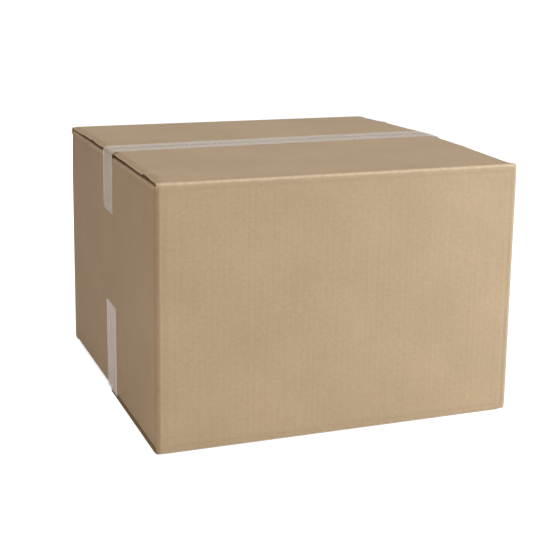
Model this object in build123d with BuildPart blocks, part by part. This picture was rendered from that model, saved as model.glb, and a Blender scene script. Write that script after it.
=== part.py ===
from build123d import *
from math import acos, atan2, cos, hypot, sin, tan
import os

# A closed shipping carton, taped shut at the top and at the bottom.
# The carton is one blank of corrugated board: four wall panels, a glue tab that
# makes them a sleeve, and eight flaps. The side flaps are folded in first, and
# the front and back flaps lie over them and meet along the middle of the box.
# A strip of tape runs along each of those two seams and a little way up or down
# the side panels.
# Z is up, X runs along the seams, -Y is the front. The origin is the middle of
# the underside.

# Driving dimensions, in millimetres

# Inside of the made-up box
inside_length = 457.0  # along the seams
inside_width = 457.0  # across the seams
inside_height = 305.0

# Board
board = 4.0
inside_fold_radius = 1.5  # every fold, on the inside of the box

# Cuts in the blank
slot_width = 8.0  # between the sides of neighbouring flaps
slot_past_fold = 1.5  # how far a slot runs on past the fold of the side flaps
seam_gap = 1.5  # between the two flaps that meet

# Glue tab, on the inside of the back panel at the right
tab_width = 35.0
tab_taper = 12.0  # the tab is this much shorter at each end of its free edge
glue_thickness = 0.3  # between the tab and the back panel
glue_margin = 3.0  # bare board round the glue

# How the flaps lie
flap_clearance = 0.3  # between a side flap and the flap that lies on it
seam_rise = 5.0  # the top flaps spring up by this much at the seam

# Tape
tape_width = 50.0
film_thickness = 0.15
adhesive = 0.05  # between the film and the board
top_tape_leg = 73.0  # down each side panel, from the top of its fold
bottom_tape_leg = 124.0  # up each side panel, from the underside

# Sizes that follow

outside_length = inside_length + 2 * board
outside_width = inside_width + 2 * board
fold_radius = inside_fold_radius + board / 2  # at the middle of the board
outside_fold_radius = inside_fold_radius + board

# The middle of the board in the side panels and in the front and back panels
side_x = outside_length / 2 - board / 2
front_y = outside_width / 2 - board / 2

# The centre of the folds in the side panels
fold_x = side_x - fold_radius

# The middle of the board in the glue tab, and the tab's free edge
tab_y = front_y - board - glue_thickness
tab_end_x = side_x - tab_width

# The middle of the board in each layer of flaps, from the underside up
layer_pitch = board + flap_clearance
base_z = film_thickness + adhesive
low_outer_z = base_z + board / 2
low_inner_z = low_outer_z + layer_pitch
high_inner_z = low_inner_z + inside_height + board
high_outer_z = high_inner_z + layer_pitch
seam_z = high_outer_z + seam_rise

# The sleeve stands between the ends of the slots
sleeve_low_z = low_inner_z + fold_radius + slot_past_fold
sleeve_high_z = high_inner_z - fold_radius - slot_past_fold

# The patch of glue on the tab
glue_left_x = tab_end_x + glue_margin
glue_right_x = fold_x - glue_margin
glue_low_z = sleeve_low_z + tab_taper + glue_margin
glue_high_z = sleeve_high_z - tab_taper - glue_margin

# All flaps are half as long as the box is wide, so that the outer ones meet.
# In a box longer than it is wide the side flaps stay apart by the difference,
# and in one wider than it is long they are cut shorter, to meet as well.
outer_flap_end_y = seam_gap / 2
side_flap_reach = min(front_y, side_x) - seam_gap / 2
side_flap_end_x = side_x - side_flap_reach
outer_flap_span = 2 * side_x - slot_width
side_flap_span = 2 * front_y - slot_width

# The outer flaps of the top slope up from their folds to the seam, and their
# upper faces would meet in a ridge over the middle of the seam gap
top_slope = atan2(seam_rise, front_y - outer_flap_end_y)
ridge_z = seam_z + outer_flap_end_y * tan(top_slope) + board / 2 / cos(top_slope)

# Radii of the tape's line, round a side panel's fold and over the edge of a flap
tape_lift = adhesive + film_thickness / 2
tape_fold_radius = outside_fold_radius + tape_lift
tape_side_x = outside_length / 2 + tape_lift


def tape_line(up, fold_z, face_z, leg_z):
    """Corners of a tape's line from the end of one leg to the end of the other.

    The tape leaves a side panel along its fold, goes straight to the edge of
    the outer flaps and turns onto them. up is 1 at the top and -1 at the
    bottom, fold_z the centre of the fold and face_z the face of the flaps.
    """
    rise = up * (face_z - fold_z)
    run = outer_flap_span / 2 - fold_x
    turn = atan2(rise, run) - acos(outside_fold_radius / hypot(rise, run))
    shoulder_rise = tape_fold_radius * (1 - cos(turn)) / sin(turn)
    brow_rise = rise + tape_lift
    brow_x = fold_x + (tape_fold_radius - sin(turn) * brow_rise) / cos(turn)
    right = [
        (brow_x, face_z + up * tape_lift),
        (tape_side_x, fold_z + up * shoulder_rise),
        (tape_side_x, leg_z),
    ]
    left = [(-x, z) for x, z in reversed(right)]
    return left + right


tape_radii = [tape_fold_radius, tape_lift, tape_lift, tape_fold_radius]


with BuildPart() as carton:
    # Sleeve: the glue tab, the right, front, left and back panels in one line
    with BuildSketch(Plane.XY.offset(sleeve_low_z)):
        with BuildLine():
            FilletPolyline(
                (tab_end_x, tab_y),
                (side_x, tab_y),
                (side_x, -front_y),
                (-side_x, -front_y),
                (-side_x, front_y),
                (outside_length / 2, front_y),
                radius=fold_radius,
            )
        trace(line_width=board)
    extrude(amount=sleeve_high_z - sleeve_low_z)

    # The tab's free edge is shorter than its fold
    tab_face = Plane.XZ.offset(-tab_y - board / 2)
    for tab_corner_z, taper in ((sleeve_high_z, -tab_taper), (sleeve_low_z, tab_taper)):
        with BuildSketch(tab_face):
            with BuildLine():
                Polyline(
                    (fold_x, tab_corner_z),
                    (tab_end_x, tab_corner_z + taper),
                    (tab_end_x, tab_corner_z),
                    close=True,
                )
            make_face()
        extrude(amount=board, mode=Mode.SUBTRACT)

    # Glue between the tab and the back panel
    with BuildSketch(tab_face):
        with BuildLine():
            Polyline(
                (glue_left_x, glue_low_z),
                (glue_right_x, glue_low_z),
                (glue_right_x, glue_high_z),
                (glue_left_x, glue_high_z),
                close=True,
            )
        make_face()
    extrude(amount=-glue_thickness)

    # Front and back flaps, at the top up to the seam and at the bottom flat
    for side in (-1, 1):
        for wall_z, fold_z, end_z in (
            (sleeve_high_z, high_outer_z, seam_z),
            (sleeve_low_z, low_outer_z, low_outer_z),
        ):
            with BuildSketch(Plane.YZ):
                with BuildLine():
                    FilletPolyline(
                        (side * front_y, wall_z),
                        (side * front_y, fold_z),
                        (side * outer_flap_end_y, end_z),
                        radius=fold_radius,
                    )
                trace(line_width=board)
            extrude(amount=outer_flap_span / 2, both=True)

    # Side flaps, one board further in
    for side in (-1, 1):
        for wall_z, fold_z in ((sleeve_high_z, high_inner_z), (sleeve_low_z, low_inner_z)):
            with BuildSketch(Plane.XZ):
                with BuildLine():
                    FilletPolyline(
                        (side * side_x, wall_z),
                        (side * side_x, fold_z),
                        (side * side_flap_end_x, fold_z),
                        radius=fold_radius,
                    )
                trace(line_width=board)
            extrude(amount=side_flap_span / 2, both=True)


# The upper tape bends along its own middle, over the ridge of the two flaps
tape_drop = tape_width / 2 * sin(top_slope)

with BuildPart() as top_tape:
    for side in (-1, 1):
        with BuildSketch(Plane.XZ):
            with BuildLine():
                FilletPolyline(
                    tape_line(
                        1,
                        high_inner_z - fold_radius + tape_drop,
                        ridge_z,
                        high_inner_z + board / 2 - top_tape_leg,
                    ),
                    radius=tape_radii,
                )
            trace(line_width=film_thickness)
        extrude(amount=tape_width / 2, dir=(0, side * cos(top_slope), -sin(top_slope)))


with BuildPart() as bottom_tape:
    with BuildSketch(Plane.XZ):
        with BuildLine():
            FilletPolyline(
                tape_line(-1, low_inner_z + fold_radius, base_z, bottom_tape_leg),
                radius=tape_radii,
            )
        trace(line_width=film_thickness)
    extrude(amount=tape_width / 2, both=True)


carton.part.label = "carton"
top_tape.part.label = "top_tape"
bottom_tape.part.label = "bottom_tape"

os.makedirs("parts", exist_ok=True)
export_step(carton.part, "parts/carton.step")
export_step(top_tape.part, "parts/top_tape.step")
export_step(bottom_tape.part, "parts/bottom_tape.step")
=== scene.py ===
import logging
from dataclasses import dataclass, field, replace
from enum import Enum
from math import atan2, ceil, cos, exp, pi, radians, sin
from typing import Callable, Iterable, TypeAlias

import bmesh
import bpy
from mathutils import Matrix, Vector, noise


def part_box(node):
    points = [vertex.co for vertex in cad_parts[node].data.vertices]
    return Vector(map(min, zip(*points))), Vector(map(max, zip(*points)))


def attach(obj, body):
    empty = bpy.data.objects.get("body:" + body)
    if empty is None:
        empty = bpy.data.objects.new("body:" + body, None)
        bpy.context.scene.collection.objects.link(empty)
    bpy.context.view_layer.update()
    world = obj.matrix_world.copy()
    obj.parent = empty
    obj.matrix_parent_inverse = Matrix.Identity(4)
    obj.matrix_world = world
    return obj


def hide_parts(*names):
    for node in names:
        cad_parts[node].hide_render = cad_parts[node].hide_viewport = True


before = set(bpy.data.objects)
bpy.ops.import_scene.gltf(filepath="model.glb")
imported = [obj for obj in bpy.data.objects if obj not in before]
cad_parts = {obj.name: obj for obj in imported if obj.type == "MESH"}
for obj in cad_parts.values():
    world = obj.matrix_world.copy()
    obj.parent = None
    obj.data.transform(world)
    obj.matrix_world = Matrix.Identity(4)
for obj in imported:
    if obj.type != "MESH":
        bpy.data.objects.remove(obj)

LOG = logging.getLogger("carton")

MM = 0.001
NEAR = 1e-6
DOUBLE = 0.2 * MM

Colour: TypeAlias = tuple[float, float, float, float]
Socket: TypeAlias = bpy.types.NodeSocket
Value: TypeAlias = Socket | float | Colour


def smooth_step(low: float, high: float, value: float) -> float:
    """An eased ramp.

    Args:
        low: Where the ramp is 0.
        high: Where the ramp is 1.
        value: The place on it.

    Returns:
        A number from 0 to 1.
    """
    t = min(1.0, max(0.0, (value - low) / (high - low)))
    return t * t * (3 - 2 * t)


def hump(centre: float, spread: float, value: float) -> float:
    """A bell-shaped swell.

    Args:
        centre: Where it is 1.
        spread: How far out it falls to about a third.
        value: The place on it.

    Returns:
        A number from 0 to 1.
    """
    return exp(-(((value - centre) / spread) ** 2))


def in_order(places: Iterable[float]) -> list[float]:
    """Places in order, without doubles.

    Args:
        places: In any order.

    Returns:
        The places that are left.
    """
    kept: list[float] = []
    for place in sorted(places):
        if not kept or place - kept[-1] > DOUBLE:
            kept.append(place)
    return kept


@dataclass(frozen=True)
class Pitch:
    """How closely a stretch of sheet is cut.

    Attributes:
        fine: The pitch near its two ends.
        coarse: The pitch between.
        margin: How far the fine pitch reaches in from each end.
    """

    fine: float
    coarse: float
    margin: float

    def cuts(self, low: float, high: float) -> list[float]:
        """The places to cut.

        Args:
            low: One end of the stretch.
            high: The other end.

        Returns:
            The places, both ends among them.
        """
        margin = self.margin
        steps = max(1, ceil(margin / self.fine))
        middle = max(1, ceil((high - low - 2 * margin) / self.coarse))
        places = [low + margin * k / steps for k in range(steps)]
        places += [low + margin + (high - low - 2 * margin) * k / middle for k in range(middle)]
        places += [high - margin + margin * k / steps for k in range(steps + 1)]
        return places


@dataclass(frozen=True)
class Unevenness:
    """Soft random variation over a surface.

    Attributes:
        first: How quickly it varies along its first axis, per metre.
        second: How quickly it varies along its second axis, per metre.
        seed: Which pattern it is.
    """

    first: float
    second: float
    seed: float

    def at(self, first: float, second: float) -> float:
        """Its value at a place, 0 on average."""
        return noise.noise(Vector((first * self.first, second * self.second, self.seed)))


class Panel(Enum):
    """The four panels of the blank, from the glued joint round."""

    RIGHT = "right"
    FRONT = "front"
    LEFT = "left"
    BACK = "back"

    @property
    def is_side(self) -> bool:
        """Whether its flaps are folded in before the others."""
        return self in (Panel.RIGHT, Panel.LEFT)


@dataclass(frozen=True)
class Bend:
    """A round fold along a straight line of a flat sheet.

    Attributes:
        start: Where the bend starts, along the sheet.
        way: 1 if the sheet beyond it has larger places, -1 if smaller.
        angle: How far it turns, in radians, to the inside of the object.
        radius: Of the sheet's middle.
        steps: How many flat facets make it.
    """

    start: float
    way: int
    angle: float
    radius: float
    steps: int

    @property
    def facet(self) -> float:
        """Width of one facet."""
        return 2 * self.radius * sin(self.angle / self.steps / 2)

    @property
    def width(self) -> float:
        """Width of the whole bend on the flat sheet."""
        return self.facet * self.steps

    @property
    def end(self) -> float:
        """Where the bend ends."""
        return self.start + self.way * self.width

    @property
    def joints(self) -> list[float]:
        """The lines that the sheet turns at, from the outermost in."""
        return [self.start + self.way * self.facet * k for k in range(self.steps, -1, -1)]

    def turn(self, index: int) -> float:
        """How far the sheet turns at one joint.

        Args:
            index: The joint's number, from the outermost in.

        Returns:
            The angle, half as much at the first and the last joint.
        """
        share = 0.5 if index in (0, self.steps) else 1.0
        return self.angle / self.steps * share


@dataclass
class Sheet:
    """A flat sheet in the plane of the front panel, ready to be cut and folded.

    Each vertex keeps its flat place in a layer, x along the blank and z up it,
    so that folds, cuts and finishes can follow the sheet after it's folded.

    Attributes:
        middle_y: The plane of the sheet's middle.
        thickness: Of the sheet.
        mesh: The mesh being made.
    """

    middle_y: float
    thickness: float
    mesh: bmesh.types.BMesh = field(default_factory=bmesh.new)

    def cut_grid(self, columns: list[float], rows: list[float]) -> None:
        """Starts the sheet as one face and cuts it along every line.

        Args:
            columns: Places of the upright lines.
            rows: Places of the level lines.
        """
        columns, rows = sorted(columns), sorted(rows)
        bmesh.ops.create_grid(self.mesh, x_segments=1, y_segments=1, size=0.5)
        scale = Vector((columns[-1] - columns[0], rows[-1] - rows[0], 1))
        bmesh.ops.scale(self.mesh, vec=scale, verts=self.mesh.verts[:])
        upright = Matrix.Rotation(pi / 2, 3, "X")
        bmesh.ops.rotate(self.mesh, matrix=upright, verts=self.mesh.verts[:])
        centre = Vector((columns[-1] + columns[0], 0, rows[-1] + rows[0])) / 2
        bmesh.ops.translate(self.mesh, vec=centre, verts=self.mesh.verts[:])
        for places, axis in ((columns, Vector((1, 0, 0))), (rows, Vector((0, 0, 1)))):
            for place in places[1:-1]:
                every = self.mesh.verts[:] + self.mesh.edges[:] + self.mesh.faces[:]
                bmesh.ops.bisect_plane(
                    self.mesh, geom=every, dist=1e-7, plane_co=axis * place, plane_no=axis
                )

    def drop(self, unwanted: Callable[[Vector], bool]) -> None:
        """Deletes faces.

        Args:
            unwanted: Says of a face's middle whether the face goes.
        """
        gone = [f for f in self.mesh.faces if unwanted(f.calc_center_median())]
        bmesh.ops.delete(self.mesh, geom=gone, context="FACES")

    def thicken(self) -> None:
        """Gives the flat sheet its thickness, half to each side of its middle."""
        half = Vector((0, self.thickness / 2, 0))
        bmesh.ops.translate(self.mesh, vec=-half, verts=self.mesh.verts[:])
        grown = bmesh.ops.extrude_face_region(
            self.mesh, geom=self.mesh.faces[:], use_keep_orig=True
        )
        moved = [g for g in grown["geom"] if isinstance(g, bmesh.types.BMVert)]
        bmesh.ops.translate(self.mesh, vec=2 * half, verts=moved)
        bmesh.ops.translate(
            self.mesh, vec=Vector((0, self.middle_y, 0)), verts=self.mesh.verts[:]
        )
        bmesh.ops.recalc_face_normals(self.mesh, faces=self.mesh.faces[:])

    def rim(self) -> list[bmesh.types.BMFace]:
        """The cut edges of the thick, unfolded sheet."""
        return [f for f in self.mesh.faces if abs(f.normal.y) < 0.5]

    def press(self, depth: Callable[[float, float], float]) -> None:
        """Presses the outer face of the flat sheet in, and leaves the inner one.

        Args:
            depth: How far it goes in at a place along and up the sheet.
        """
        for vert in self.mesh.verts:
            if vert.co.y < self.middle_y:
                vert.co.y += depth(vert.co.x, vert.co.z)

    def mark(self, name: str, amount: Callable[[float, float], float]) -> None:
        """Writes an attribute that a finish reads.

        Args:
            name: Of the attribute.
            amount: Its value at a place along and up the flat sheet.
        """
        layer = self.mesh.verts.layers.float.new(name)
        for vert in self.mesh.verts:
            vert[layer] = amount(vert.co.x, vert.co.z)

    def remember(self) -> None:
        """Writes each vertex's flat place in its layer, and the same in metres as UV."""
        flat = self.mesh.verts.layers.float_vector.new("flat")
        uv = self.mesh.loops.layers.uv.new("blank")
        for vert in self.mesh.verts:
            vert[flat] = vert.co
        for face in self.mesh.faces:
            for loop in face.loops:
                loop[uv].uv = loop.vert.co.xz

    def fold(
        self,
        bend: Bend,
        upright: bool,
        among: Callable[[Vector], bool] = lambda flat: True,
        place: Callable[[Vector], float] | None = None,
    ) -> None:
        """Folds the sheet inwards along a line that hasn't moved yet.

        Args:
            bend: The fold.
            upright: Whether its line stands up, as between two panels.
            among: Says of a flat place whether it may move.
            place: Where across the fold a flat place counts as lying.
        """
        flat = self.mesh.verts.layers.float_vector["flat"]
        axis = "Z" if upright else "X"
        sign = bend.way if upright else -bend.way
        across = place or (lambda spot: spot.x if upright else spot.z)
        movable = [(v, across(v[flat])) for v in self.mesh.verts if among(v[flat])]
        for index, joint in enumerate(bend.joints):
            centre = Vector((joint, self.middle_y, joint))
            beyond = [v for v, at in movable if (at - joint) * bend.way > NEAR]
            at_joint = [v for v, at in movable if abs(at - joint) <= NEAR]
            turn = sign * bend.turn(index)
            for verts, angle in ((beyond, turn), (at_joint, turn / 2)):
                matrix = Matrix.Rotation(angle, 3, axis)
                bmesh.ops.rotate(self.mesh, cent=centre, matrix=matrix, verts=verts)

    def finish(self, name: str, sharp: float) -> bpy.types.Object:
        """Turns the sheet into an object.

        Args:
            name: Of the object and its mesh.
            sharp: Edges that turn by more than this angle stay sharp.

        Returns:
            The object, linked to the scene.
        """
        for face in self.mesh.faces:
            face.smooth = True
        mesh = bpy.data.meshes.new(name)
        self.mesh.to_mesh(mesh)
        self.mesh.free()
        mesh.set_sharp_from_angle(angle=sharp)
        piece = bpy.data.objects.new(name, mesh)
        bpy.context.collection.objects.link(piece)
        return piece


@dataclass(frozen=True)
class Layer:
    """One scale of a finish's unevenness.

    Attributes:
        stretch: How many clouds a metre, along each axis.
        detail: How many finer layers it has.
        weight: How much it counts.
    """

    stretch: tuple[float, float, float]
    detail: float
    weight: float


@dataclass(frozen=True)
class Wiring:
    """Adds the nodes of a finish.

    Attributes:
        tree: Where they go.
    """

    tree: bpy.types.NodeTree

    def put(self, socket: Socket, value: Value) -> None:
        """Gives an input its value.

        Args:
            socket: The input.
            value: A constant, or the output to link.
        """
        if isinstance(value, Socket):
            self.tree.links.new(value, socket)
        else:
            socket.default_value = value

    def dress(self, values: dict[str, Value]) -> None:
        """Gives the shader its values.

        Args:
            values: A constant or an output for each of its inputs, by name.
        """
        shader = self.tree.nodes["Principled BSDF"]
        for name, value in values.items():
            self.put(shader.inputs[name], value)

    def math(self, operation: str, first: Value, second: Value = 0.0, third: Value = 0.0) -> Socket:
        """Adds a sum.

        Args:
            operation: Which sum.
            first: Its first term.
            second: Its second term.
            third: Its third term.

        Returns:
            The result's socket.
        """
        node = self.tree.nodes.new("ShaderNodeMath")
        node.operation = operation
        for socket, value in zip(node.inputs, (first, second, third)):
            self.put(socket, value)
        return node.outputs[0]

    def total(self, start: Value, *terms: tuple[Value, float]) -> Socket:
        """Adds up weighted terms.

        Args:
            start: What the sum starts from.
            terms: Each value and its weight.

        Returns:
            The result's socket.
        """
        for value, weight in terms:
            start = self.math("MULTIPLY_ADD", value, weight, start)
        return start

    def clouds(self, vector: Socket, layer: Layer) -> Socket:
        """Adds soft noise.

        Args:
            vector: The place that it's read at.
            layer: Its scale and detail.

        Returns:
            The socket of its value, about 0.5 on average.
        """
        mapping = self.tree.nodes.new("ShaderNodeMapping")
        self.put(mapping.inputs["Scale"], layer.stretch)
        self.put(mapping.inputs["Vector"], vector)
        node = self.tree.nodes.new("ShaderNodeTexNoise")
        self.put(node.inputs["Scale"], 1.0)
        self.put(node.inputs["Detail"], layer.detail)
        self.put(node.inputs["Vector"], mapping.outputs[0])
        return node.outputs["Fac"]

    def ramp(self, value: Value, span: tuple[float, float]) -> Socket:
        """Adds a ramp from 0 to 1.

        Args:
            value: What it reads.
            span: Where it starts and ends.

        Returns:
            The result's socket.
        """
        node = self.tree.nodes.new("ShaderNodeMapRange")
        self.put(node.inputs["Value"], value)
        self.put(node.inputs["From Min"], span[0])
        self.put(node.inputs["From Max"], span[1])
        return node.outputs[0]

    def blend(self, share: Value, first: Value, second: Value) -> Socket:
        """Adds a mix of two colours.

        Args:
            share: How much of the second there is.
            first: One colour.
            second: The other.

        Returns:
            The colour's socket.
        """
        node = self.tree.nodes.new("ShaderNodeMix")
        node.data_type = "RGBA"
        colours = [socket for socket in node.inputs if socket.type == "RGBA"]
        self.put(node.inputs[0], share)
        self.put(colours[0], first)
        self.put(colours[1], second)
        return next(socket for socket in node.outputs if socket.type == "RGBA")

    def relief(self, *bumps: tuple[Value, float]) -> Socket:
        """Adds bumps on one another.

        Args:
            bumps: The height of each, from 0 to 1, and how high 1 is, in metres.

        Returns:
            The normal's socket.
        """
        normal = None
        for height, depth in bumps:
            node = self.tree.nodes.new("ShaderNodeBump")
            self.put(node.inputs["Distance"], depth)
            self.put(node.inputs["Height"], height)
            if normal is not None:
                self.put(node.inputs["Normal"], normal)
            normal = node.outputs[0]
        return normal

    def attribute(self, name: str) -> Socket:
        """Reads an attribute of the mesh.

        Args:
            name: Of the attribute.

        Returns:
            The socket of its value.
        """
        node = self.tree.nodes.new("ShaderNodeAttribute")
        node.attribute_name = name
        return node.outputs["Fac"]

    def blank_uv(self) -> Socket:
        """Reads the place on the flat sheet.

        Returns:
            The socket of it, in metres.
        """
        node = self.tree.nodes.new("ShaderNodeUVMap")
        node.uv_map = "blank"
        return node.outputs[0]

    def flutes(self, pitch: float) -> Socket:
        """Adds a wave along the flat sheet.

        Args:
            pitch: Of the wave, in metres.

        Returns:
            The socket of its value, from -1 to 1.
        """
        split = self.tree.nodes.new("ShaderNodeSeparateXYZ")
        self.put(split.inputs[0], self.blank_uv())
        return self.math("SINE", self.math("MULTIPLY", split.outputs[0], 2 * pi / pitch))

    def seen(self) -> Socket:
        """Adds a test for rays that see the background.

        Returns:
            A socket that is 1 for a ray from the camera, off gloss or through glass.
        """
        path = self.tree.nodes.new("ShaderNodeLightPath")
        result = path.outputs["Is Camera Ray"]
        for kind in ("Is Glossy Ray", "Is Transmission Ray"):
            result = self.math("MAXIMUM", result, path.outputs[kind])
        return result


@dataclass(frozen=True)
class Finish:
    """A finish made of shader nodes.

    Attributes:
        name: Of the material.
    """

    name: str

    def make(self) -> bpy.types.Material:
        """Makes the material.

        Returns:
            The material.
        """
        material = bpy.data.materials.new(self.name)
        material.use_nodes = True
        self.wire(Wiring(material.node_tree))
        return material

    def wire(self, nodes: Wiring) -> None:
        """Adds the nodes. Each finish has its own."""


@dataclass(frozen=True)
class KraftPaper(Finish):
    """Brown kraft liner with fibres, clouds and the faint ribs of the flutes.

    Attributes:
        dark: The colour of its darkest fibres.
        light: The colour of its palest fibres.
        rubbed_and_highlight: The colour of worn folds, pale enough to paint the highlight that they
            catch.
        cloud: Its broad clouds.
        mottle: Its blotches.
        fibre: Its fibres.
        grain: Its specks.
        streak: Its streaks up the blank.
        fleck: Its dark flecks.
        fleck_span: Where on their noise the flecks begin and are full.
        score_shade_tone: How far the painted shade in a dent beside a fold shifts the tone.
        wear_and_highlight: How worn the folds get, and how much highlight is painted on them.
        wear_highlight_span: Where on the blotches the worn and highlighted paper begins and is
            full.
        roughness: Of its smoothest blotches.
        rough_spread: How much rougher the others are.
        gloss: How strongly it shines.
        sheen: Strength of its fuzz.
        sheen_roughness: Roughness of its fuzz.
        flute: Pitch of the flutes.
        rib_shading_tone: How far the painted light and shade of a rib shifts the tone.
        rib_height: Of the ribs.
        dent_height: Of the broad clouds.
        fuzz_height: Of fibres and specks together.
    """

    dark: Colour = (0.327, 0.236, 0.147, 1)
    light: Colour = (0.541, 0.418, 0.271, 1)
    rubbed_and_highlight: Colour = (0.660, 0.530, 0.375, 1)
    cloud: Layer = Layer((9, 11, 1), 3, 0.45)
    mottle: Layer = Layer((150, 260, 1), 2, 0.34)
    fibre: Layer = Layer((420, 1500, 1), 3, 0.60)
    grain: Layer = Layer((1500, 1500, 1), 1, 0.55)
    streak: Layer = Layer((260, 7, 1), 2, 0.14)
    fleck: Layer = Layer((330, 900, 1), 0, -0.30)
    fleck_span: tuple[float, float] = (0.70, 0.80)
    score_shade_tone: float = -0.16
    wear_and_highlight: float = 0.9
    wear_highlight_span: tuple[float, float] = (0.0, 0.6)
    roughness: float = 0.68
    rough_spread: float = 0.2
    gloss: float = 0.25
    sheen: float = 0.06
    sheen_roughness: float = 0.5
    flute: float = 7.5 * MM
    rib_shading_tone: float = 0.012
    rib_height: float = 0.022 * MM
    dent_height: float = 1.2 * MM
    fuzz_height: float = 0.05 * MM

    def wire(self, nodes: Wiring) -> None:
        """Adds the nodes.

        Args:
            nodes: What adds them.
        """
        uv = nodes.blank_uv()
        layers = (self.cloud, self.mottle, self.fibre, self.grain, self.streak)
        values = [nodes.clouds(uv, layer) for layer in layers]
        cloud, mottle, fibre, grain, _ = values
        centred = [nodes.math("SUBTRACT", value, 0.5) for value in values]
        rib = nodes.flutes(self.flute)
        fleck = nodes.ramp(nodes.clouds(uv, self.fleck), self.fleck_span)
        # Painted shade in the dents beside the folds.
        score_shade = nodes.math("MULTIPLY", nodes.attribute("score_shade"), mottle)
        # The rib term paints light on the flutes' crests and shade in their troughs.
        tone = nodes.total(
            0.5, *zip(centred, [layer.weight for layer in layers]),
            (rib, self.rib_shading_tone), (fleck, self.fleck.weight), (score_shade, self.score_shade_tone),
        )
        # Worn paper on folds and edges, whose paler colour also paints the highlight that they
        # catch.
        worn = nodes.math("MULTIPLY", nodes.attribute("wear_and_highlight"), self.wear_and_highlight)
        worn = nodes.math("MULTIPLY", worn, nodes.ramp(mottle, self.wear_highlight_span))
        ribs = nodes.total(0.5, (rib, 0.5))
        fuzz = nodes.math("ADD", fibre, grain)
        nodes.dress({
            "Base Color": nodes.blend(worn, nodes.blend(tone, self.dark, self.light), self.rubbed_and_highlight),
            "Roughness": nodes.total(self.roughness, (mottle, self.rough_spread)),
            "Specular IOR Level": self.gloss,
            "Sheen Weight": self.sheen,
            "Sheen Roughness": self.sheen_roughness,
            "Normal": nodes.relief(
                (ribs, self.rib_height), (cloud, self.dent_height), (fuzz, self.fuzz_height)
            ),
        })


@dataclass(frozen=True)
class CutEdge(Finish):
    """The raw cut edge of the board: torn fibres, and the flutes' hollows in painted shade.

    Attributes:
        hollow_shade: The painted shade inside a flute.
        torn: The colour of the torn paper.
        coarse: Where its torn paper and its painted flute shade lie.
        fine: Its fibres.
        span: Where on their sum the torn paper begins and is full.
        roughness: Of the paper.
        gloss: How strongly it shines.
        height: Of the fibres.
    """

    hollow_shade: Colour = (0.150, 0.095, 0.055, 1)
    torn: Colour = (0.420, 0.305, 0.190, 1)
    coarse: Layer = Layer((130, 130, 300), 2, 1.0)
    fine: Layer = Layer((900, 900, 900), 2, 0.5)
    span: tuple[float, float] = (0.55, 0.95)
    roughness: float = 0.9
    gloss: float = 0.2
    height: float = 0.3 * MM

    def wire(self, nodes: Wiring) -> None:
        """Adds the nodes.

        Args:
            nodes: What adds them.
        """
        place = nodes.tree.nodes.new("ShaderNodeTexCoord").outputs["Object"]
        coarse = nodes.clouds(place, self.coarse)
        fine = nodes.clouds(place, self.fine)
        # The share picks torn paper, and painted shade where the flutes' hollows are.
        share = nodes.ramp(nodes.total(coarse, (fine, self.fine.weight)), self.span)
        nodes.dress({
            "Base Color": nodes.blend(share, self.hollow_shade, self.torn),
            "Roughness": self.roughness,
            "Specular IOR Level": self.gloss,
            "Normal": nodes.relief((fine, self.height)),
        })


@dataclass(frozen=True)
class ClearTape(Finish):
    """Clear tape over brown board, with paler borders and cloudy streaks.

    Attributes:
        pale: The colour of the film.
        thin: How much the film hides where it's clearest.
        thick: How much it hides at its borders.
        haze: How much more it hides all over.
        gloss: How strongly it shines.
        streak: Its streaks along the strip.
        streak_span: Where on their noise the streaks begin and are full.
        cloud: Its clouds.
        least: How cloudy the film is everywhere, from 0 to 1.
        edge: How much cloudier it is at its borders.
        tip: The same at its ends.
        level: How much paler the film is made on the carton's top and base.
        seam: The same along the seam, where clearer film paints a strip of shade.
        dots: How much that painted shade follows the flutes' ends there.
        roughness: Of its smoothest clouds.
        rough_spread: How much rougher the others are.
        streak_height: Of the streaks.
        cloud_height: Of the clouds.
        flute: Pitch of the flutes.
    """

    pale: Colour = (0.92, 0.85, 0.78, 1)
    thin: float = 0.12
    thick: float = 0.36
    haze: float = 0.0
    gloss: float = 0.5
    streak: Layer = Layer((9, 330, 1), 3, 0.55)
    streak_span: tuple[float, float] = (0.35, 0.65)
    cloud: Layer = Layer((60, 120, 1), 2, 1.0)
    least: float = 0.1
    edge: float = 0.6
    tip: float = -0.3
    level: float = 0.35
    seam: float = -0.95
    dots: float = -0.2
    roughness: float = 0.2
    rough_spread: float = 0.25
    streak_height: float = 0.12 * MM
    cloud_height: float = 0.15 * MM
    flute: float = 7.5 * MM

    def wire(self, nodes: Wiring) -> None:
        """Adds the nodes.

        Args:
            nodes: What adds them.
        """
        uv = nodes.blank_uv()
        streak = nodes.clouds(uv, self.streak)
        cloud = nodes.clouds(uv, self.cloud)
        level = nodes.math("SUBTRACT", 1.0, nodes.attribute("leg"))
        # Clearer film along the seam paints shade on its ridge, dotted by the flutes' ends.
        seam_shade_strength = nodes.total(self.seam, (nodes.flutes(self.flute), self.dots))
        share = nodes.total(
            self.least, (nodes.ramp(streak, self.streak_span), self.streak.weight),
            (nodes.attribute("edge"), self.edge), (nodes.attribute("tip"), self.tip),
            (level, self.level), (nodes.math("MULTIPLY", nodes.attribute("seam"), seam_shade_strength), 1.0),
        )
        share = nodes.math("MAXIMUM", nodes.math("MINIMUM", share, 1.0), 0.0)
        nodes.dress({
            "Base Color": self.pale,
            "Alpha": nodes.total(self.thin + self.haze, (share, self.thick - self.thin)),
            "Roughness": nodes.total(self.roughness, (cloud, self.rough_spread)),
            "Specular IOR Level": self.gloss,
            "Normal": nodes.relief((streak, self.streak_height), (cloud, self.cloud_height)),
        })


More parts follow.
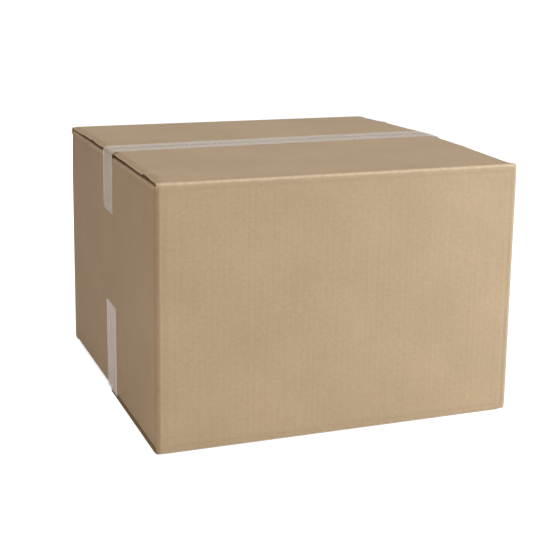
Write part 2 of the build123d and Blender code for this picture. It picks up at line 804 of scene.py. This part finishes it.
@dataclass(frozen=True)
class FloorPaint(Finish):
    """A pale floor that shows as white, and still keeps a shadow.

    Attributes:
        paint: Its colour under the lamps.
        backdrop: The colour that is added where the background is seen.
        strength: How much of that is added.
        roughness: Of the paint.
    """

    paint: Colour = (0.8, 0.8, 0.8, 1)
    backdrop: Colour = (0.90, 0.95, 1, 1)
    strength: float = 0.86
    roughness: float = 0.9

    def wire(self, nodes: Wiring) -> None:
        """Adds the nodes.

        Args:
            nodes: What adds them.
        """
        nodes.dress({
            "Base Color": self.paint,
            "Roughness": self.roughness,
            "Emission Color": self.backdrop,
            "Emission Strength": nodes.math("MULTIPLY", nodes.seen(), self.strength),
        })


@dataclass(frozen=True)
class Posture:
    """How a made-up carton has relaxed: its bowed panels and springy flaps.

    Attributes:
        half_x: Half the carton's length.
        half_y: Half its width.
        height: Of its upper folds.
        inset: How far its corners lie inside its nominal size.
        bow: How far the middles of its panels swell out from that.
        left_sag: How much lower the seam lies at the left end.
        pillow: How far the upper flaps arch between fold and seam.
        arch: How far the front flap springs up beside the corner at the left.
        arch_x: Where that is along the carton, from -1 to 1, and how wide.
        arch_y: Where it is across the carton, and how wide.
        ripple: How uneven the flaps are.
        ripples: The pattern of that, over a carton 2 units long and wide.
    """

    half_x: float
    half_y: float
    height: float
    inset: float = 0.8 * MM
    bow: float = 0.6 * MM
    left_sag: float = 2.0 * MM
    pillow: float = 0.8 * MM
    arch: float = 2.4 * MM
    arch_x: tuple[float, float] = (-1.0, 0.16)
    arch_y: tuple[float, float] = (-0.84, 0.11)
    ripple: float = 0.7 * MM
    ripples: Unevenness = Unevenness(2.1, 2.6, 3.7)

    def wall_shift(self, place: Vector) -> Vector:
        """How the panels have moved.

        Args:
            place: A point on the carton.

        Returns:
            The shift there.
        """
        x = place.x / self.half_x
        y = place.y / self.half_y
        z = min(1.0, max(-1.0, 2 * place.z / self.height - 1))
        level = 1 - z * z
        out_x = self.bow * level * max(0.0, 1 - y * y) - self.inset
        out_y = self.bow * level * max(0.0, 1 - x * x) - self.inset
        return Vector((out_x * x, out_y * y, 0))

    def lid_shift(self, place: Vector) -> Vector:
        """How the two upper flaps that meet have moved, and the tape on them.

        Args:
            place: A point on them.

        Returns:
            The shift there.
        """
        x = place.x / self.half_x
        y = place.y / self.half_y
        seam_ward = max(0.0, 1 - abs(y))
        sag = -self.left_sag * smooth_step(0.8, -1.0, x) * seam_ward
        middle = sin(pi * seam_ward)
        corner = self.arch * hump(*self.arch_x, x) * hump(*self.arch_y, y)
        ripple = self.ripple * self.ripples.at(x, y)
        return Vector((0, 0, sag + corner + (self.pillow + ripple) * middle))


@dataclass
class Carton:
    """The folded blank of corrugated board.

    Attributes:
        low: Lowest corner of the carton.
        high: Highest corner of the carton.
        board: Thickness of the board.
        liner: Thickness of its outer papers.
        inside_fold: Radius of a fold on its inside.
        main_setback: From the carton's side to the edge of a flap that meets its like.
        side_setback: From a panel's fold to the edge of a flap that is folded in first.
        seam_gap: Between two flaps that meet.
        flap_clearance: Between a side flap and the flap that lies on it.
        seam_rise: How far the upper flaps slope up to the seam.
        tab: Width of the glue tab.
        glue: Thickness of the glue between the tab and the back panel.
        crush: How far the side edges of the upper flaps are pressed together.
        low_crush: The same for the lower flaps.
        crush_reach: How far in from the edge that goes.
        crush_fade: How far from its fold an upper flap is crushed less.
        crease_share: How much of the crush is left at the fold.
        lump: How much less a lump is crushed.
        score_dip: Depth of the dent along each fold.
        score_at: How far from the fold's middle it lies, and how wide it is.
        swell_at: The same for the swelling beside it.
        shade_at: How far from a fold's middle the painted shade of its dent lies, and how widely.
        corner_shade: How much stronger that painted shade is on a side panel, at its upright folds.
        corner_at: How far from those that is, and how widely.
        tuck: How far the lower back flap's left edge is tucked in.
        jut: How far the lower front flap's left edge stands out.
        steps: Facets in a quarter fold.
        tear: How far the cut edge's filling stands back, and how much that varies.
        torn: How quickly it varies, coarsely and finely, per metre.
        dents: The pattern of the board's unevenness.
        fine_dents: Its finer pattern.
        lumps: The pattern of the lumps along an edge.
        slide_reach: How far along a flap its slid edge drags the board.
        slide_ease: From the fold's end, where that begins and is full.
        fold_wear_and_highlight: How worn a fold is, with its painted highlight, and how wide.
        lip_wear_and_highlight: The same where a side panel turns into its flap.
        edge_wear_and_highlight: The same along an outer flap's side edges.
        panel_wear_and_highlight: How worn the upright folds are, with their painted highlight.
        corner: How far a crushed corner reaches up and along the blank.
        width_pitch: Of the cuts across the panels and flaps.
        panel_pitch: Of the cuts up the panels.
        lid_pitch: Of the cuts up the upper flaps.
        base_pitch: Of the cuts down the lower flaps.
        fold_margin: From a panel's upright fold to the next cut.
        crisp: How many times the upper corners and the lower front left one are pressed smooth.
        worn: The same for the other lower corners.
    """

    low: Vector
    high: Vector
    board: float = 4 * MM
    liner: float = 0.3 * MM
    inside_fold: float = 1.5 * MM
    main_setback: float = 1.5 * MM
    side_setback: float = 4.5 * MM
    seam_gap: float = 1.5 * MM
    flap_clearance: float = 0.3 * MM
    seam_rise: float = 5 * MM
    tab: float = 35 * MM
    glue: float = 0.3 * MM
    crush: float = 2.9 * MM
    low_crush: float = 0.4 * MM
    crush_reach: float = 9 * MM
    crush_fade: float = 16 * MM
    crease_share: float = 0.3
    lump: float = 0.55
    score_dip: float = 0.22 * MM
    score_at: tuple[float, float] = (6.5 * MM, 2 * MM)
    swell_at: tuple[float, float] = (11 * MM, 2.5 * MM)
    shade_at: tuple[float, float] = (6 * MM, 2 * MM)
    corner_shade: float = 4.0
    corner_at: tuple[float, float] = (2.6 * MM, 1 * MM)
    tuck: float = 10 * MM
    jut: float = 1.1 * MM
    tear: tuple[float, float] = (0.8 * MM, 0.6 * MM)
    torn: tuple[float, float] = (170, 470)
    dents: Unevenness = Unevenness(31, 31, 5.1)
    fine_dents: Unevenness = Unevenness(120, 120, 1.7)
    lumps: Unevenness = Unevenness(34, 3, 8.2)
    steps: int = 5
    slide_reach: float = 45 * MM
    slide_ease: tuple[float, float] = (1 * MM, -9 * MM)
    fold_wear_and_highlight: tuple[float, float] = (1.35, 1.0 * MM)
    lip_wear_and_highlight: tuple[float, float] = (1.0, 2.6 * MM)
    edge_wear_and_highlight: tuple[float, float] = (0.6, 1.0 * MM)
    panel_wear_and_highlight: float = 0.25
    corner: tuple[float, float] = (5.6 * MM, 7 * MM)
    width_pitch: Pitch = Pitch(2.5 * MM, 12 * MM, 15 * MM)
    panel_pitch: Pitch = Pitch(2 * MM, 12 * MM, 16 * MM)
    lid_pitch: Pitch = Pitch(4 * MM, 4.5 * MM, 12 * MM)
    base_pitch: Pitch = Pitch(4 * MM, 12 * MM, 12 * MM)
    fold_margin: float = 1.2 * MM
    crisp: int = 2
    worn: int = 7

    def __post_init__(self) -> None:
        """Works out the places of the folds on the flat blank."""
        radius = self.inside_fold + self.board / 2
        self.radius = radius
        self.side_x = self.high.x - self.board / 2
        self.front_y = self.high.y - self.board / 2
        pitch = self.board + self.flap_clearance
        self.slope = atan2(self.seam_rise, self.front_y - self.seam_gap / 2)
        low_outer = self.low.z + self.board / 2
        high_outer = self.high.z - self.board / 2 - self.seam_rise
        self.top_z = high_outer + self.board / 2
        quarter = pi / 2
        self.top_outer = self.bend(high_outer - radius, 1, quarter - self.slope)
        self.top_inner = self.bend(high_outer - pitch - radius, 1, quarter)
        self.base_outer = self.bend(low_outer + radius, -1, quarter)
        self.base_inner = self.bend(low_outer + pitch + radius, -1, quarter)
        reach_x = self.side_x - radius
        reach_y = self.front_y - radius
        self.front_right = self.bend(reach_x, 1, quarter)
        right_end = self.front_right.end + 2 * reach_y - self.board - self.glue
        self.right_tab = self.bend(right_end, 1, quarter)
        self.front_left = self.bend(-reach_x, -1, quarter)
        self.left_back = self.bend(self.front_left.end - 2 * reach_y, -1, quarter)
        self.tab_end = self.right_tab.end + self.tab - radius
        self.back_end = self.left_back.end - reach_x - self.high.x
        self.slot_high = self.top_inner.end
        self.slot_low = self.base_inner.end
        flap_x = self.high.x - self.main_setback
        back_x = self.left_back.end - reach_x
        self.spans = {
            Panel.FRONT: (-flap_x, flap_x),
            Panel.BACK: (back_x - flap_x, back_x + flap_x),
            Panel.RIGHT: (
                self.front_right.end + self.side_setback,
                self.right_tab.start - self.side_setback,
            ),
            Panel.LEFT: (
                self.left_back.start + self.side_setback,
                self.front_left.end - self.side_setback,
            ),
        }
        reach = reach_y - self.seam_gap / 2
        side_reach = reach_x - self.seam_gap / 2
        self.flap_ends = {
            (1, False): self.top_outer.end + reach / cos(self.slope),
            (1, True): self.top_inner.end + side_reach,
            (-1, False): self.base_outer.end - reach,
            (-1, True): self.base_inner.end - side_reach,
        }

    def bend(self, start: float, way: int, angle: float) -> Bend:
        """A fold of the board.

        Args:
            start: Where it starts on the flat blank.
            way: Which way the blank goes on beyond it.
            angle: How far it turns.

        Returns:
            The fold.
        """
        return Bend(start, way, angle, self.radius, self.steps)

    def upright_bends(self) -> list[Bend]:
        """The folds between panels, the outermost ones first."""
        return [self.right_tab, self.front_right, self.left_back, self.front_left]

    def flap_at(self, x: float) -> Panel | None:
        """The panel whose flaps take in a place along the blank, if any do.

        Args:
            x: The place.

        Returns:
            The panel, or None between two of them.
        """
        for panel, (low, high) in self.spans.items():
            if low - NEAR < x < high + NEAR:
                return panel
        return None

    def is_waste(self, place: Vector) -> bool:
        """Whether the die cuts this place of the flat blank away.

        Args:
            place: A place on the flat blank.

        Returns:
            True where the die cuts it away.
        """
        if self.slot_low < place.z < self.slot_high:
            return False
        panel = self.flap_at(place.x)
        if panel is None:
            return True
        if place.z > self.slot_high:
            return place.z > self.flap_ends[1, panel.is_side]
        return place.z < self.flap_ends[-1, panel.is_side]

    def columns(self) -> list[float]:
        """Lays out the upright lines of the blank's grid.

        Returns:
            Their places.
        """
        places = [self.tab_end, self.back_end]
        for bend in self.upright_bends():
            places += bend.joints
            margin = bend.way * self.fold_margin
            places += [bend.end + margin, bend.start - margin]
        for low, high in self.spans.values():
            places += self.width_pitch.cuts(low, high)
        return in_order(places)

    def rows(self) -> list[float]:
        """Lays out the level lines of the blank's grid.

        Returns:
            Their places.
        """
        places = [self.slot_low, self.slot_high, *self.flap_ends.values()]
        for bend in (self.top_outer, self.top_inner, self.base_outer, self.base_inner):
            places += bend.joints
        places += self.panel_pitch.cuts(self.slot_low, self.slot_high)[1:-1]
        top_end = min(self.flap_ends[1, False], self.flap_ends[1, True])
        places += self.lid_pitch.cuts(self.top_outer.end, top_end)[1:-1]
        base_end = max(self.flap_ends[-1, False], self.flap_ends[-1, True])
        places += self.base_pitch.cuts(base_end, self.base_outer.end)[1:-1]
        return in_order(places)

    def fold_distance(self, x: float, z: float) -> float:
        """How far a flat place is from the nearest outer fold's middle.

        Args:
            x: Along the blank.
            z: Up it.

        Returns:
            The distance, or a large one far from every fold.
        """
        gaps = [1.0]
        if self.slot_low < z < self.slot_high:
            gaps += [abs(x - (b.start + b.end) / 2) for b in self.upright_bends()]
        panel = self.flap_at(x)
        if panel is not None:
            folds = (self.top_inner, self.base_inner)
            if not panel.is_side:
                folds = (self.top_outer, self.base_outer)
            gaps += [abs(z - (b.start + b.end) / 2) for b in folds]
        return min(gaps)

    def edge_distance(self, x: float, z: float) -> float:
        """How far a place on an outer flap is from the flap's side edges.

        Args:
            x: Along the blank.
            z: Up it.

        Returns:
            The distance, or a large one off the flaps.
        """
        panel = self.flap_at(x)
        if panel is None or self.slot_low < z < self.slot_high:
            return 1.0
        low, high = self.spans[panel]
        return min(x - low, high - x)

    def pressed(self, x: float, z: float) -> float:
        """How far the board is pressed in at a flat place.

        Args:
            x: Along the blank.
            z: Up it.

        Returns:
            The depth.
        """
        uneven = self.dents.at(x, z)
        fine = self.fine_dents.at(x, z)
        near = smooth_step(self.crush_reach, 0.0, self.edge_distance(x, z))
        crush = self.crush if z > 0.5 * self.high.z else self.low_crush
        lump = self.lump * smooth_step(0.25, 0.5, self.lumps.at(z, x))
        depth = crush * near * (1 + 0.15 * uneven + 0.1 * fine) * (1 - lump)
        depth = min(depth, self.board - 2.4 * self.liner)
        if z > self.slot_high:
            fold_end = self.top_outer.end
            past_fold = smooth_step(fold_end, fold_end + self.crush_fade, z)
            depth *= self.crease_share + (1 - self.crease_share) * past_fold
        gap = self.fold_distance(x, z)
        dip = (1 + uneven) * hump(*self.score_at, gap)
        swell = 0.5 * (1 + fine) * hump(*self.swell_at, gap)
        return depth + self.score_dip * (dip - swell)

    def misalign(self, sheet: Sheet) -> None:
        """Slides the lower flaps' left edges out of line with each other.

        Args:
            sheet: The blank, with its flat places written down.
        """
        flat = sheet.mesh.verts.layers.float_vector["flat"]
        reach = self.slide_reach
        start, full = (self.base_outer.end + ease for ease in self.slide_ease)
        front_left = self.spans[Panel.FRONT][0]
        back_left = self.spans[Panel.BACK][1]
        for vert in sheet.mesh.verts:
            x, z = vert[flat].x, vert[flat].z
            free = smooth_step(start, full, z)
            if free > 0 and self.flap_at(x) is Panel.FRONT:
                vert.co.x -= self.jut * free * smooth_step(front_left + reach, front_left, x)
            if free > 0 and self.flap_at(x) is Panel.BACK:
                vert.co.x -= self.tuck * free * smooth_step(back_left - reach, back_left, x)

    def wear_and_highlight(self, x: float, z: float) -> float:
        """How worn the paper is at a flat place, with the highlight on folds and edges painted in,
        from 0 to 1.

        Args:
            x: Along the blank.
            z: Up it.

        Returns:
            The share of worn paper and painted highlight.
        """
        upright = self.slot_low < z < self.slot_high
        panel = self.flap_at(x)
        on_lip = panel is not None and panel.is_side and not upright
        strength, width = self.lip_wear_and_highlight if on_lip else self.fold_wear_and_highlight
        if upright and z < self.top_inner.start:
            strength = self.panel_wear_and_highlight
        fold = strength * hump(0.0, width, self.fold_distance(x, z))
        strength, width = self.edge_wear_and_highlight
        return max(fold, strength * hump(0.0, width, self.edge_distance(x, z)))

    def score_shade(self, x: float, z: float) -> float:
        """How much shade is painted in the dent beside a fold at a flat place, from 0 up.

        Args:
            x: Along the blank.
            z: Up it.

        Returns:
            The strength of the painted shade.
        """
        # Painted shade beside a fold, stronger beside the upright folds.
        dent = hump(*self.shade_at, self.fold_distance(x, z))
        if not self.slot_low < z < self.slot_high:
            return dent
        for bend in self.upright_bends():
            to_side = bend.way if bend in (self.front_right, self.front_left) else -bend.way
            past = to_side * (x - (bend.start + bend.end) / 2)
            dent += self.corner_shade * hump(*self.corner_at, past)
        return dent

    def blank(self) -> Sheet:
        """Cuts out the flat blank and gives it its thickness.

        Returns:
            The blank.
        """
        sheet = Sheet(middle_y=-self.front_y, thickness=self.board)
        sheet.cut_grid(self.columns(), self.rows())
        sheet.drop(self.is_waste)
        sheet.thicken()
        return sheet

    def open_edges(self, sheet: Sheet, rim: list[bmesh.types.BMFace]) -> None:
        """Shows the liners and the recess between them along every cut.

        Args:
            sheet: The thick, unfolded blank.
            rim: The faces of its cut edges.
        """
        for face in rim:
            face.material_index = 1
        bmesh.ops.inset_region(
            sheet.mesh, faces=rim, thickness=self.liner, depth=0, use_even_offset=True
        )
        depth, spread = self.tear
        inward = {v: Vector() for f in rim for v in f.verts}
        for face in rim:
            for vert in face.verts:
                inward[vert] -= face.normal
        for vert, way in inward.items():
            coarse, fine = (noise.noise(vert.co * scale) for scale in self.torn)
            vert.co += way.normalized() * (depth + spread * (coarse + 0.6 * fine))

    def fold_up(self, sheet: Sheet) -> None:
        """Folds the flaps, and then the panels.

        Args:
            sheet: The blank, with its flat places written down.
        """

        def lies(flat: Vector) -> float:
            """Where along the blank a flat place turns with the panels."""
            if self.slot_low - NEAR <= flat.z <= self.slot_high + NEAR:
                return flat.x
            return sum(self.spans[self.flap_at(flat.x) or Panel.FRONT]) / 2

        flat = sheet.mesh.verts.layers.float_vector["flat"]
        shares = {v: self.side_share(v[flat].x) for v in sheet.mesh.verts}
        before = {v: v.co.copy() for v, share in shares.items() if 0 < share < 1}
        for bend in (self.top_inner, self.base_inner):
            sheet.fold(bend, upright=False, among=lambda spot: self.side_share(spot.x) > 0)
        for vert, place in before.items():
            vert.co = place.lerp(vert.co, shares[vert])
        for bend in (self.top_outer, self.base_outer):
            sheet.fold(bend, upright=False, among=self.on_main)
        for bend in self.upright_bends():
            sheet.fold(bend, upright=True, place=lies)
        crushed = [v for v in sheet.mesh.verts if self.at_corner(v[flat])]
        middle_z = (self.slot_low + self.slot_high) / 2
        near_left = self.front_left.end - self.radius, self.front_left.start + self.radius
        crisp, worn = [], []
        for vert in crushed:
            at_left = near_left[0] < vert[flat].x < near_left[1]
            (crisp if vert[flat].z > middle_z or at_left else worn).append(vert)
        for verts, times in ((crisp, self.crisp), (worn, self.worn)):
            for _ in range(times):
                bmesh.ops.smooth_vert(
                    sheet.mesh, verts=verts, factor=0.5,
                    use_axis_x=True, use_axis_y=True, use_axis_z=True,
                )

    def side_share(self, x: float) -> float:
        """How much of a side flap's turn the board takes at a place along the blank.

        Args:
            x: Along the blank.

        Returns:
            1 on the flap, 0 at the panel's upright folds and past them.
        """
        for panel in (Panel.RIGHT, Panel.LEFT):
            low, high = self.spans[panel]
            outside = max(low - x, x - high, 0.0)
            if outside < self.side_setback:
                return 1 - outside / self.side_setback
        return 0.0

    def on_main(self, flat: Vector) -> bool:
        """Whether a flat place lies in line with the flaps that meet."""
        panel = self.flap_at(flat.x)
        return panel is not None and not panel.is_side

    def at_corner(self, flat: Vector) -> bool:
        """Whether a flat place is crushed where three folds come together.

        Args:
            flat: The place.

        Returns:
            True near the ends of the slots.
        """
        low_gap = abs(flat.z - self.slot_low)
        high_gap = abs(flat.z - self.slot_high)
        reach_up, reach_along = self.corner
        near_slot = min(high_gap, low_gap) < reach_up
        if self.on_main(flat) and flat.z > self.slot_high + NEAR:
            return False
        gaps = [abs(flat.x - (b.start + b.end) / 2) for b in self.upright_bends()]
        return near_slot and min(gaps) < reach_along

    def relax(self, sheet: Sheet, posture: Posture) -> None:
        """Bows the panels and springs the flaps.

        Args:
            sheet: The folded blank.
            posture: How it has relaxed.
        """
        flat = sheet.mesh.verts.layers.float_vector["flat"]
        for vert in sheet.mesh.verts:
            place = vert.co.copy()
            shift = posture.wall_shift(place)
            if self.on_main(vert[flat]) and vert[flat].z > self.top_outer.start:
                rise = smooth_step(self.top_outer.start, self.top_outer.end, vert[flat].z)
                shift += posture.lid_shift(place) * rise
            vert.co += shift

    def build(self, posture: Posture) -> bpy.types.Object:
        """Makes the carton.

        Args:
            posture: How it has relaxed.

        Returns:
            Its object.
        """
        sheet = self.blank()
        sheet.remember()
        # Worn paper, with the painted highlight on folds and edges.
        sheet.mark("wear_and_highlight", self.wear_and_highlight)
        # Painted shade in the dents beside the folds.
        sheet.mark("score_shade", self.score_shade)
        rim = sheet.rim()
        self.misalign(sheet)
        sheet.press(self.pressed)
        self.open_edges(sheet, rim)
        self.fold_up(sheet)
        self.relax(sheet, posture)
        piece = sheet.finish("carton_board", radians(50))
        piece.data.materials.append(KraftPaper("kraft").make())
        piece.data.materials.append(CutEdge("cut_edge").make())
        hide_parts("carton")
        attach(piece, "root")
        return piece


@dataclass
class Tape:
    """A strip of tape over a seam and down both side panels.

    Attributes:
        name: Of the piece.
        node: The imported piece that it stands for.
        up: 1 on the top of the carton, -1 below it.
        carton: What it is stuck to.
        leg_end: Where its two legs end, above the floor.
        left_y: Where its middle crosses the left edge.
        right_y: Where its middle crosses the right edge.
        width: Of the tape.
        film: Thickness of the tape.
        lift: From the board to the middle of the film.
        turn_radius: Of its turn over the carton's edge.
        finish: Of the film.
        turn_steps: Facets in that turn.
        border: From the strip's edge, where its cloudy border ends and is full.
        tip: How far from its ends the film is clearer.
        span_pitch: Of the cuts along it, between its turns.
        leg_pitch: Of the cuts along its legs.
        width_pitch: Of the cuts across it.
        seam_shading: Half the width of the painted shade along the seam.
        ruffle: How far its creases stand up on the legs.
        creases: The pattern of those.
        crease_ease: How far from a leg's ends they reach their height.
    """

    name: str
    node: str
    up: int
    carton: Carton
    leg_end: float
    left_y: float
    right_y: float
    finish: Finish
    width: float = 50 * MM
    film: float = 0.06 * MM
    lift: float = 0.1 * MM
    turn_radius: float = 6 * MM
    turn_steps: int = 6
    border: tuple[float, float] = (7 * MM, 3 * MM)
    tip: float = 6 * MM
    span_pitch: Pitch = Pitch(3 * MM, 6 * MM, 9 * MM)
    leg_pitch: Pitch = Pitch(2 * MM, 3 * MM, 4 * MM)
    width_pitch: Pitch = Pitch(1 * MM, 1.6 * MM, 3 * MM)
    seam_shading: float = 4.5 * MM
    ruffle: float = 0.25 * MM
    creases: Unevenness = Unevenness(14, 260, 2.3)
    crease_ease: float = 8 * MM

    def build(self, posture: Posture) -> bpy.types.Object:
        """Makes the tape.

        Args:
            posture: How the carton under it has relaxed.

        Returns:
            Its object.
        """
        carton = self.carton
        face_z = carton.high.z if self.up > 0 else carton.low.z
        start = carton.high.x + self.lift - self.turn_radius
        bend = Bend(start, 1, pi / 2, self.turn_radius, self.turn_steps)
        drop = self.up * (face_z - self.leg_end) + self.lift
        end = bend.end + drop - self.turn_radius
        sheet = Sheet(middle_y=0, thickness=self.film)
        columns = self.span_pitch.cuts(-start, start)
        for side in (-1, 1):
            columns += [side * joint for joint in bend.joints]
            columns += [side * spot for spot in self.leg_pitch.cuts(bend.end, end)]
        half = self.width / 2
        rows = self.width_pitch.cuts(-half, half)
        sheet.cut_grid(in_order(columns), rows)
        sheet.thicken()
        sheet.remember()
        inner, outer = (half - border for border in self.border)
        sheet.mark("edge", lambda x, z: smooth_step(inner, outer, abs(z)))
        sheet.mark("leg", lambda x, z: smooth_step(bend.start, bend.end, abs(x)))
        sheet.mark("tip", lambda x, z: smooth_step(end - self.tip, end, abs(x)))
        # Where the shade along the seam is painted.
        sheet.mark("seam", lambda x, z: self.over_seam(x, z, bend.start))
        self.crease(sheet, bend.end, end)
        sheet.fold(bend, upright=True)
        sheet.fold(Bend(-start, -1, bend.angle, bend.radius, bend.steps), upright=True)
        self.place(sheet, posture, face_z)
        piece = sheet.finish(self.name, radians(70))
        piece.data.materials.append(self.finish.make())
        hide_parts(self.node)
        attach(piece, "root")
        return piece

    def over_seam(self, x: float, z: float, stop: float) -> float:
        """How strongly shade is painted along the seam at a flat place, from 0 to 1.

        Args:
            x: Along the strip.
            z: Across it.
            stop: Where the strip turns over the carton's edges.

        Returns:
            The strength of the painted seam shade.
        """
        share = (x / self.carton.high.x + 1) / 2
        middle = self.left_y + (self.right_y - self.left_y) * share
        seam_shading = 0.35 + 0.65 * smooth_step(30 * MM, 90 * MM, abs(x + 25 * MM))
        return seam_shading * hump(0.0, self.seam_shading, z + middle) * (abs(x) < stop)

    def crease(self, sheet: Sheet, leg_start: float, leg_stop: float) -> None:
        """Raises lengthwise creases on the legs of the flat strip.

        Args:
            sheet: The strip.
            leg_start: Where a leg starts, along the strip.
            leg_stop: Where it ends.
        """
        half = self.width / 2
        creases = replace(self.creases, seed=self.creases.seed * self.up)
        for vert in sheet.mesh.verts:
            x, z = vert.co.x, vert.co.z
            on_leg = smooth_step(leg_start, leg_start + self.crease_ease, abs(x))
            on_leg *= smooth_step(leg_stop, leg_stop - self.crease_ease, abs(x))
            inner = smooth_step(half, half - self.tip, abs(z))
            streak = creases.at(x, z)
            vert.co.y -= self.ruffle * max(0.0, streak) * on_leg * inner

    def place(self, sheet: Sheet, posture: Posture, face_z: float) -> None:
        """Lays the folded strip over the seam.

        Args:
            sheet: The strip, folded in the plane of its width.
            posture: How the carton under it has relaxed.
            face_z: Of the ridge or the floor that it lies on.
        """
        verts = sheet.mesh.verts[:]
        tip = Matrix.Rotation(-pi / 2 * self.up, 3, "X")
        bmesh.ops.rotate(sheet.mesh, cent=Vector(), matrix=tip, verts=verts)
        lift = Vector((0, 0, face_z + self.up * self.lift))
        bmesh.ops.translate(sheet.mesh, vec=lift, verts=verts)
        for vert in verts:
            share = (vert.co.x / self.carton.high.x + 1) / 2
            vert.co.y += self.left_y + (self.right_y - self.left_y) * share
            if self.up > 0:
                on_top = smooth_step(-9 * MM, -3 * MM, vert.co.z - face_z)
                vert.co.z -= abs(vert.co.y) * sin(self.carton.slope) * on_top
                vert.co += posture.lid_shift(vert.co) * on_top
            vert.co += posture.wall_shift(vert.co)


@dataclass(frozen=True)
class Lamp:
    """A square lamp that faces the carton.

    Attributes:
        name: Of the lamp.
        place: Where it hangs.
        size: Of its side.
        power: In watts.
        tint: Colour of its light.
    """

    name: str
    place: tuple[float, float, float]
    size: float
    power: float
    tint: tuple[float, float, float] = (1, 1, 1)


@dataclass(frozen=True)
class View:
    """Where the camera stands and how it looks.

    Attributes:
        place: Of the camera.
        azimuth: How far it faces round from straight back, in degrees.
        elevation: How far it looks down, in degrees.
        roll: How far it's turned about its own axis, in degrees.
        lens: Focal length in millimetres.
        sensor: Width of its sensor in millimetres.
        shift: How far its frame is slid up, in frame widths.
    """

    place: tuple[float, float, float] = (-0.5816, -1.5265, 0.5761)
    azimuth: float = -21.03
    elevation: float = 11.55
    roll: float = 0.82
    lens: float = 79.05
    sensor: float = 36
    shift: float = -0.14


@dataclass(frozen=True)
class Studio:
    """A pale floor, soft light and the camera.

    Attributes:
        target: What the lamps face.
        view: Of the camera.
        lamps: The key and its helpers. The last one only reaches the back panel.
        floor_half: Half the floor's side.
        floor_finish: Of the floor.
        soft: Colour of the light from all round.
        softness: Its strength.
    """

    target: tuple[float, float, float] = (0, 0, 0.16)
    view: View = View()
    lamps: tuple[Lamp, ...] = (
        Lamp("key", (1.6, -1.3, 0.4), 0.8, 38.6, (0.95, 1, 1.03)),
        Lamp("overhead", (0, -0.2, 1.9), 1.5, 18.6, (0.96, 0.98, 1)),
        Lamp("fill", (-1.0, -0.8, 0.12), 0.5, 2.7, (1, 0.84, 0.72)),
        Lamp("back", (0, 2.3, 0.15), 0.28, 26),
    )
    floor_half: float = 30
    floor_finish: Finish = FloorPaint("floor_white")
    soft: Colour = (1, 0.74, 0.55, 1)
    softness: float = 0.22

    def build(self) -> None:
        """Adds the floor, the light and the camera."""
        self.floor()
        self.world()
        for lamp in self.lamps:
            self.hang(lamp)
        self.camera()

    def floor(self) -> None:
        """Adds the floor."""
        mesh = bpy.data.meshes.new("floor")
        bm = bmesh.new()
        bmesh.ops.create_grid(bm, x_segments=1, y_segments=1, size=self.floor_half)
        bm.to_mesh(mesh)
        bm.free()
        floor = bpy.data.objects.new("floor", mesh)
        bpy.context.collection.objects.link(floor)
        mesh.materials.append(self.floor_finish.make())

    def world(self) -> None:
        """Sets the soft light from all round, and the white behind the floor."""
        world = bpy.data.worlds.new("studio")
        bpy.context.scene.world = world
        world.use_nodes = True
        tree = world.node_tree
        tree.nodes.clear()
        out = tree.nodes.new("ShaderNodeOutputWorld")
        soft = tree.nodes.new("ShaderNodeBackground")
        soft.inputs["Color"].default_value = self.soft
        soft.inputs["Strength"].default_value = self.softness
        white = tree.nodes.new("ShaderNodeBackground")
        white.inputs["Color"].default_value = (1, 1, 1, 1)
        white.inputs["Strength"].default_value = 1
        mix = tree.nodes.new("ShaderNodeMixShader")
        tree.links.new(Wiring(tree).seen(), mix.inputs[0])
        tree.links.new(soft.outputs[0], mix.inputs[1])
        tree.links.new(white.outputs[0], mix.inputs[2])
        tree.links.new(mix.outputs[0], out.inputs[0])

    def hang(self, lamp: Lamp) -> None:
        """Adds a lamp.

        Args:
            lamp: What it is and where it goes.
        """
        light = bpy.data.lights.new(lamp.name, "AREA")
        light.size = lamp.size
        light.energy = lamp.power
        light.color = lamp.tint
        hung = bpy.data.objects.new(lamp.name, light)
        place = Vector(lamp.place)
        aim = (Vector(self.target) - place).to_track_quat("-Z", "Y").to_matrix().to_4x4()
        hung.matrix_world = Matrix.Translation(place) @ aim
        bpy.context.collection.objects.link(hung)

    def camera(self) -> None:
        """Adds the camera."""
        view = self.view
        data = bpy.data.cameras.new("camera")
        data.lens = view.lens
        data.sensor_width = view.sensor
        data.shift_y = view.shift
        camera = bpy.data.objects.new("camera", data)
        turn = (
            Matrix.Rotation(radians(view.azimuth), 4, "Z")
            @ Matrix.Rotation(pi / 2 - radians(view.elevation), 4, "X")
            @ Matrix.Rotation(radians(view.roll), 4, "Z")
        )
        camera.matrix_world = Matrix.Translation(Vector(view.place)) @ turn
        bpy.context.collection.objects.link(camera)
        bpy.context.scene.camera = camera


def main() -> None:
    """Builds the carton, its tapes and the studio."""
    logging.basicConfig(level=logging.INFO, format="%(message)s")
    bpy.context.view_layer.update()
    low, high = (Vector(corner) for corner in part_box("carton"))
    carton = Carton(low, high)
    posture = Posture(high.x, high.y, carton.top_z)
    pieces = [carton.build(posture)]
    top = Tape(
        "upper_tape", "top_tape", 1, carton,
        leg_end=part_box("top_tape")[0][2], left_y=-0.5 * MM, right_y=1 * MM,
        finish=ClearTape("upper_tape_film", (0.735, 0.65, 0.56, 1), haze=0.18, gloss=0.31),
    )
    pieces.append(top.build(posture))
    base = Tape(
        "lower_tape", "bottom_tape", -1, carton,
        leg_end=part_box("bottom_tape")[1][2], left_y=-12 * MM, right_y=-5 * MM,
        finish=ClearTape("lower_tape_film", haze=0.2),
    )
    pieces.append(base.build(posture))
    for piece in pieces:
        triangles = sum(len(p.vertices) - 2 for p in piece.data.polygons)
        LOG.info("%s: %d triangles", piece.name, triangles)
    Studio().build()
    bpy.context.scene.view_settings.view_transform = "Standard"


if __name__ == "__main__":
    main()
